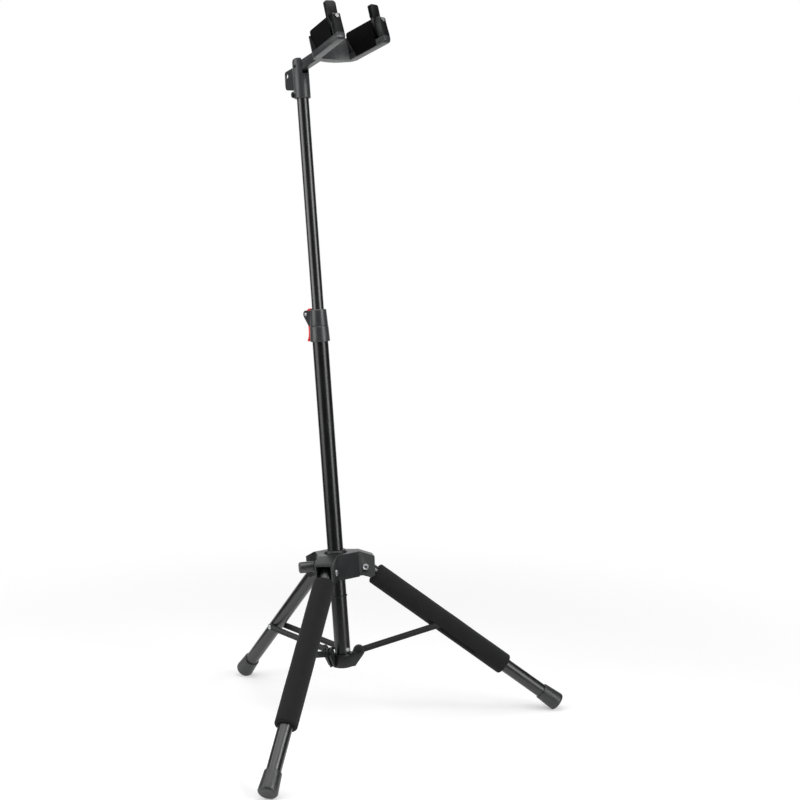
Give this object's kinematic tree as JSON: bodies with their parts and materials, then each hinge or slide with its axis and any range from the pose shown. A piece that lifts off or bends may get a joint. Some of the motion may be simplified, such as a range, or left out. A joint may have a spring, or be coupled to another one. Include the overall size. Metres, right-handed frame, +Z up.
{
  "type": "instrument stand",
  "caption": "Folding tripod stand that hangs a stringed instrument by its neck in a padded fork with self-closing gates, on a leaning telescopic column.",
  "frame": {"origin": "on the floor under the middle of the rectangle round the three feet", "axes": "+Z up, -Y to the front where the instrument hangs, +X to the right seen from the front"},
  "size_m": [0.6066, 0.502, 1.1266],
  "materials": {
    "powder_coated_steel": "gloss black powder coat",
    "moulded_nylon": "satin moulded",
    "zinc_plated_steel": "bright zinc",
    "black_steel": "black oxide",
    "rubber": "matte",
    "foam": "closed-cell foam, matte",
    "red_plastic": "moulded",
    "natural_nylon": "moulded"
  },
  "bodies": {
    "column": {"column_tube": "powder_coated_steel", "column_end_plug": "moulded_nylon", "column_rivet": "zinc_plated_steel", "stop_ring": "black_steel", "brace_collar": "powder_coated_steel", "collar_pins": "zinc_plated_steel", "clutch_body": "moulded_nylon", "clutch_pin": "zinc_plated_steel", "guide_bush": "natural_nylon"},
    "mast": {"mast_tube": "powder_coated_steel", "slide_bush": "natural_nylon", "head_housing": "moulded_nylon", "head_screw": "black_steel", "fork_pin": "black_steel"},
    "fork": {"neck_fork": "moulded_nylon", "fork_pad_left": "rubber", "fork_pad_right": "rubber", "gate_pins": "zinc_plated_steel"},
    "gate_left": {"gate_left": "moulded_nylon", "gate_pad_left": "rubber"},
    "gate_right": {"gate_right": "moulded_nylon", "gate_pad_right": "rubber"},
    "trigger": {"clutch_trigger": "red_plastic"},
    "hub": {"hub_body": "moulded_nylon", "hub_bush": "moulded_nylon", "hub_rivets": "zinc_plated_steel"},
    "lock": {"lock_knob": "moulded_nylon", "lock_screw": "zinc_plated_steel"},
    "leg_left": {"leg_tube_left": "powder_coated_steel", "leg_plug_left": "moulded_nylon", "foot_left": "rubber", "foam_left": "foam"},
    "brace_left": {"brace_left": "powder_coated_steel", "brace_rivets_left": "zinc_plated_steel"},
    "leg_right": {"leg_tube_right": "powder_coated_steel", "leg_plug_right": "moulded_nylon", "foot_right": "rubber", "foam_right": "foam"},
    "brace_right": {"brace_right": "powder_coated_steel", "brace_rivets_right": "zinc_plated_steel"},
    "leg_rear": {"leg_tube_rear": "powder_coated_steel", "leg_plug_rear": "moulded_nylon", "foot_rear": "rubber"},
    "brace_rear": {"brace_rear": "powder_coated_steel", "brace_rivets_rear": "zinc_plated_steel"}
  },
  "joints": [
    {"name": "hub_slide", "type": "slide", "parent": "column", "child": "hub", "axis": [0, 0.1063, 0.9943], "range_m": [0, 0.168]},
    {"name": "height_slide", "type": "slide", "parent": "column", "child": "mast", "axis": [0, 0.1063, 0.9943], "range_m": [-0.23, 0.04]},
    {"name": "lock_turn", "type": "hinge", "parent": "hub", "child": "lock", "pos_m": [-0.02984, -0.00792, 0.24884], "axis": [-0.8776, 0.4767, -0.0509], "range_deg": [0, 270]},
    {"name": "trigger_squeeze", "type": "hinge", "parent": "column", "child": "trigger", "pos_m": [0, 0.03889, 0.64923], "axis": [-1, 0, 0], "range_deg": [0, 5.5], "stiffness_Nm_per_rad": 1.2, "springref_deg": -17.19},
    {"name": "fork_drop", "type": "hinge", "parent": "mast", "child": "fork", "pos_m": [0, 0.05805, 1.0383], "axis": [1, 0, 0], "range_deg": [0, 10], "stiffness_Nm_per_rad": 1.2, "springref_deg": -34.38},
    {"name": "leg_fold_left", "type": "hinge", "parent": "hub", "child": "leg_left", "pos_m": [-0.03787, -0.04894, 0.24719], "axis": [0.5402, -0.8367, 0.0894], "range_deg": [0, 46.85]},
    {"name": "brace_fold_left", "type": "hinge", "parent": "column", "child": "brace_left", "pos_m": [-0.02121, -0.05258, 0.11242], "axis": [-0.5402, 0.8367, -0.0894], "range_deg": [0, 66.51]},
    {"name": "leg_fold_right", "type": "hinge", "parent": "hub", "child": "leg_right", "pos_m": [0.03787, -0.04894, 0.24719], "axis": [0.5402, 0.8367, -0.0894], "range_deg": [0, 46.85]},
    {"name": "brace_fold_right", "type": "hinge", "parent": "column", "child": "brace_right", "pos_m": [0.02121, -0.05258, 0.11242], "axis": [-0.5402, -0.8367, 0.0894], "range_deg": [0, 66.51]},
    {"name": "leg_fold_rear", "type": "hinge", "parent": "hub", "child": "leg_rear", "pos_m": [0, 0.01998, 0.23983], "axis": [-1, 0, 0], "range_deg": [0, 29.48]},
    {"name": "brace_fold_rear", "type": "hinge", "parent": "column", "child": "brace_rear", "pos_m": [0, -0.01399, 0.10829], "axis": [1, 0, 0], "range_deg": [0, 51.8]},
    {"name": "gate_right_swing", "type": "hinge", "parent": "fork", "child": "gate_right", "pos_m": [0.04245, -0.07679, 1.09844], "axis": [0.1219, -0.9418, 0.3133], "range_deg": [0, 80.1]},
    {"name": "gate_left_swing", "type": "hinge", "parent": "fork", "child": "gate_left", "pos_m": [-0.04245, -0.07679, 1.09844], "axis": [0.1219, 0.9418, -0.3133], "range_deg": [0, 80.1]}
  ],
  "couplings": [
    {"joint": "leg_fold_left", "follows": "hub_slide", "rad_per_m": 4.862},
    {"joint": "brace_fold_left", "follows": "hub_slide", "rad_per_m": 6.9047},
    {"joint": "leg_fold_right", "follows": "hub_slide", "rad_per_m": 4.862},
    {"joint": "brace_fold_right", "follows": "hub_slide", "rad_per_m": 6.9047},
    {"joint": "leg_fold_rear", "follows": "hub_slide", "rad_per_m": 3.0579},
    {"joint": "brace_fold_rear", "follows": "hub_slide", "rad_per_m": 5.376},
    {"joint": "gate_right_swing", "follows": "fork_drop", "ratio": 8},
    {"joint": "gate_left_swing", "follows": "fork_drop", "ratio": 8}
  ]
}
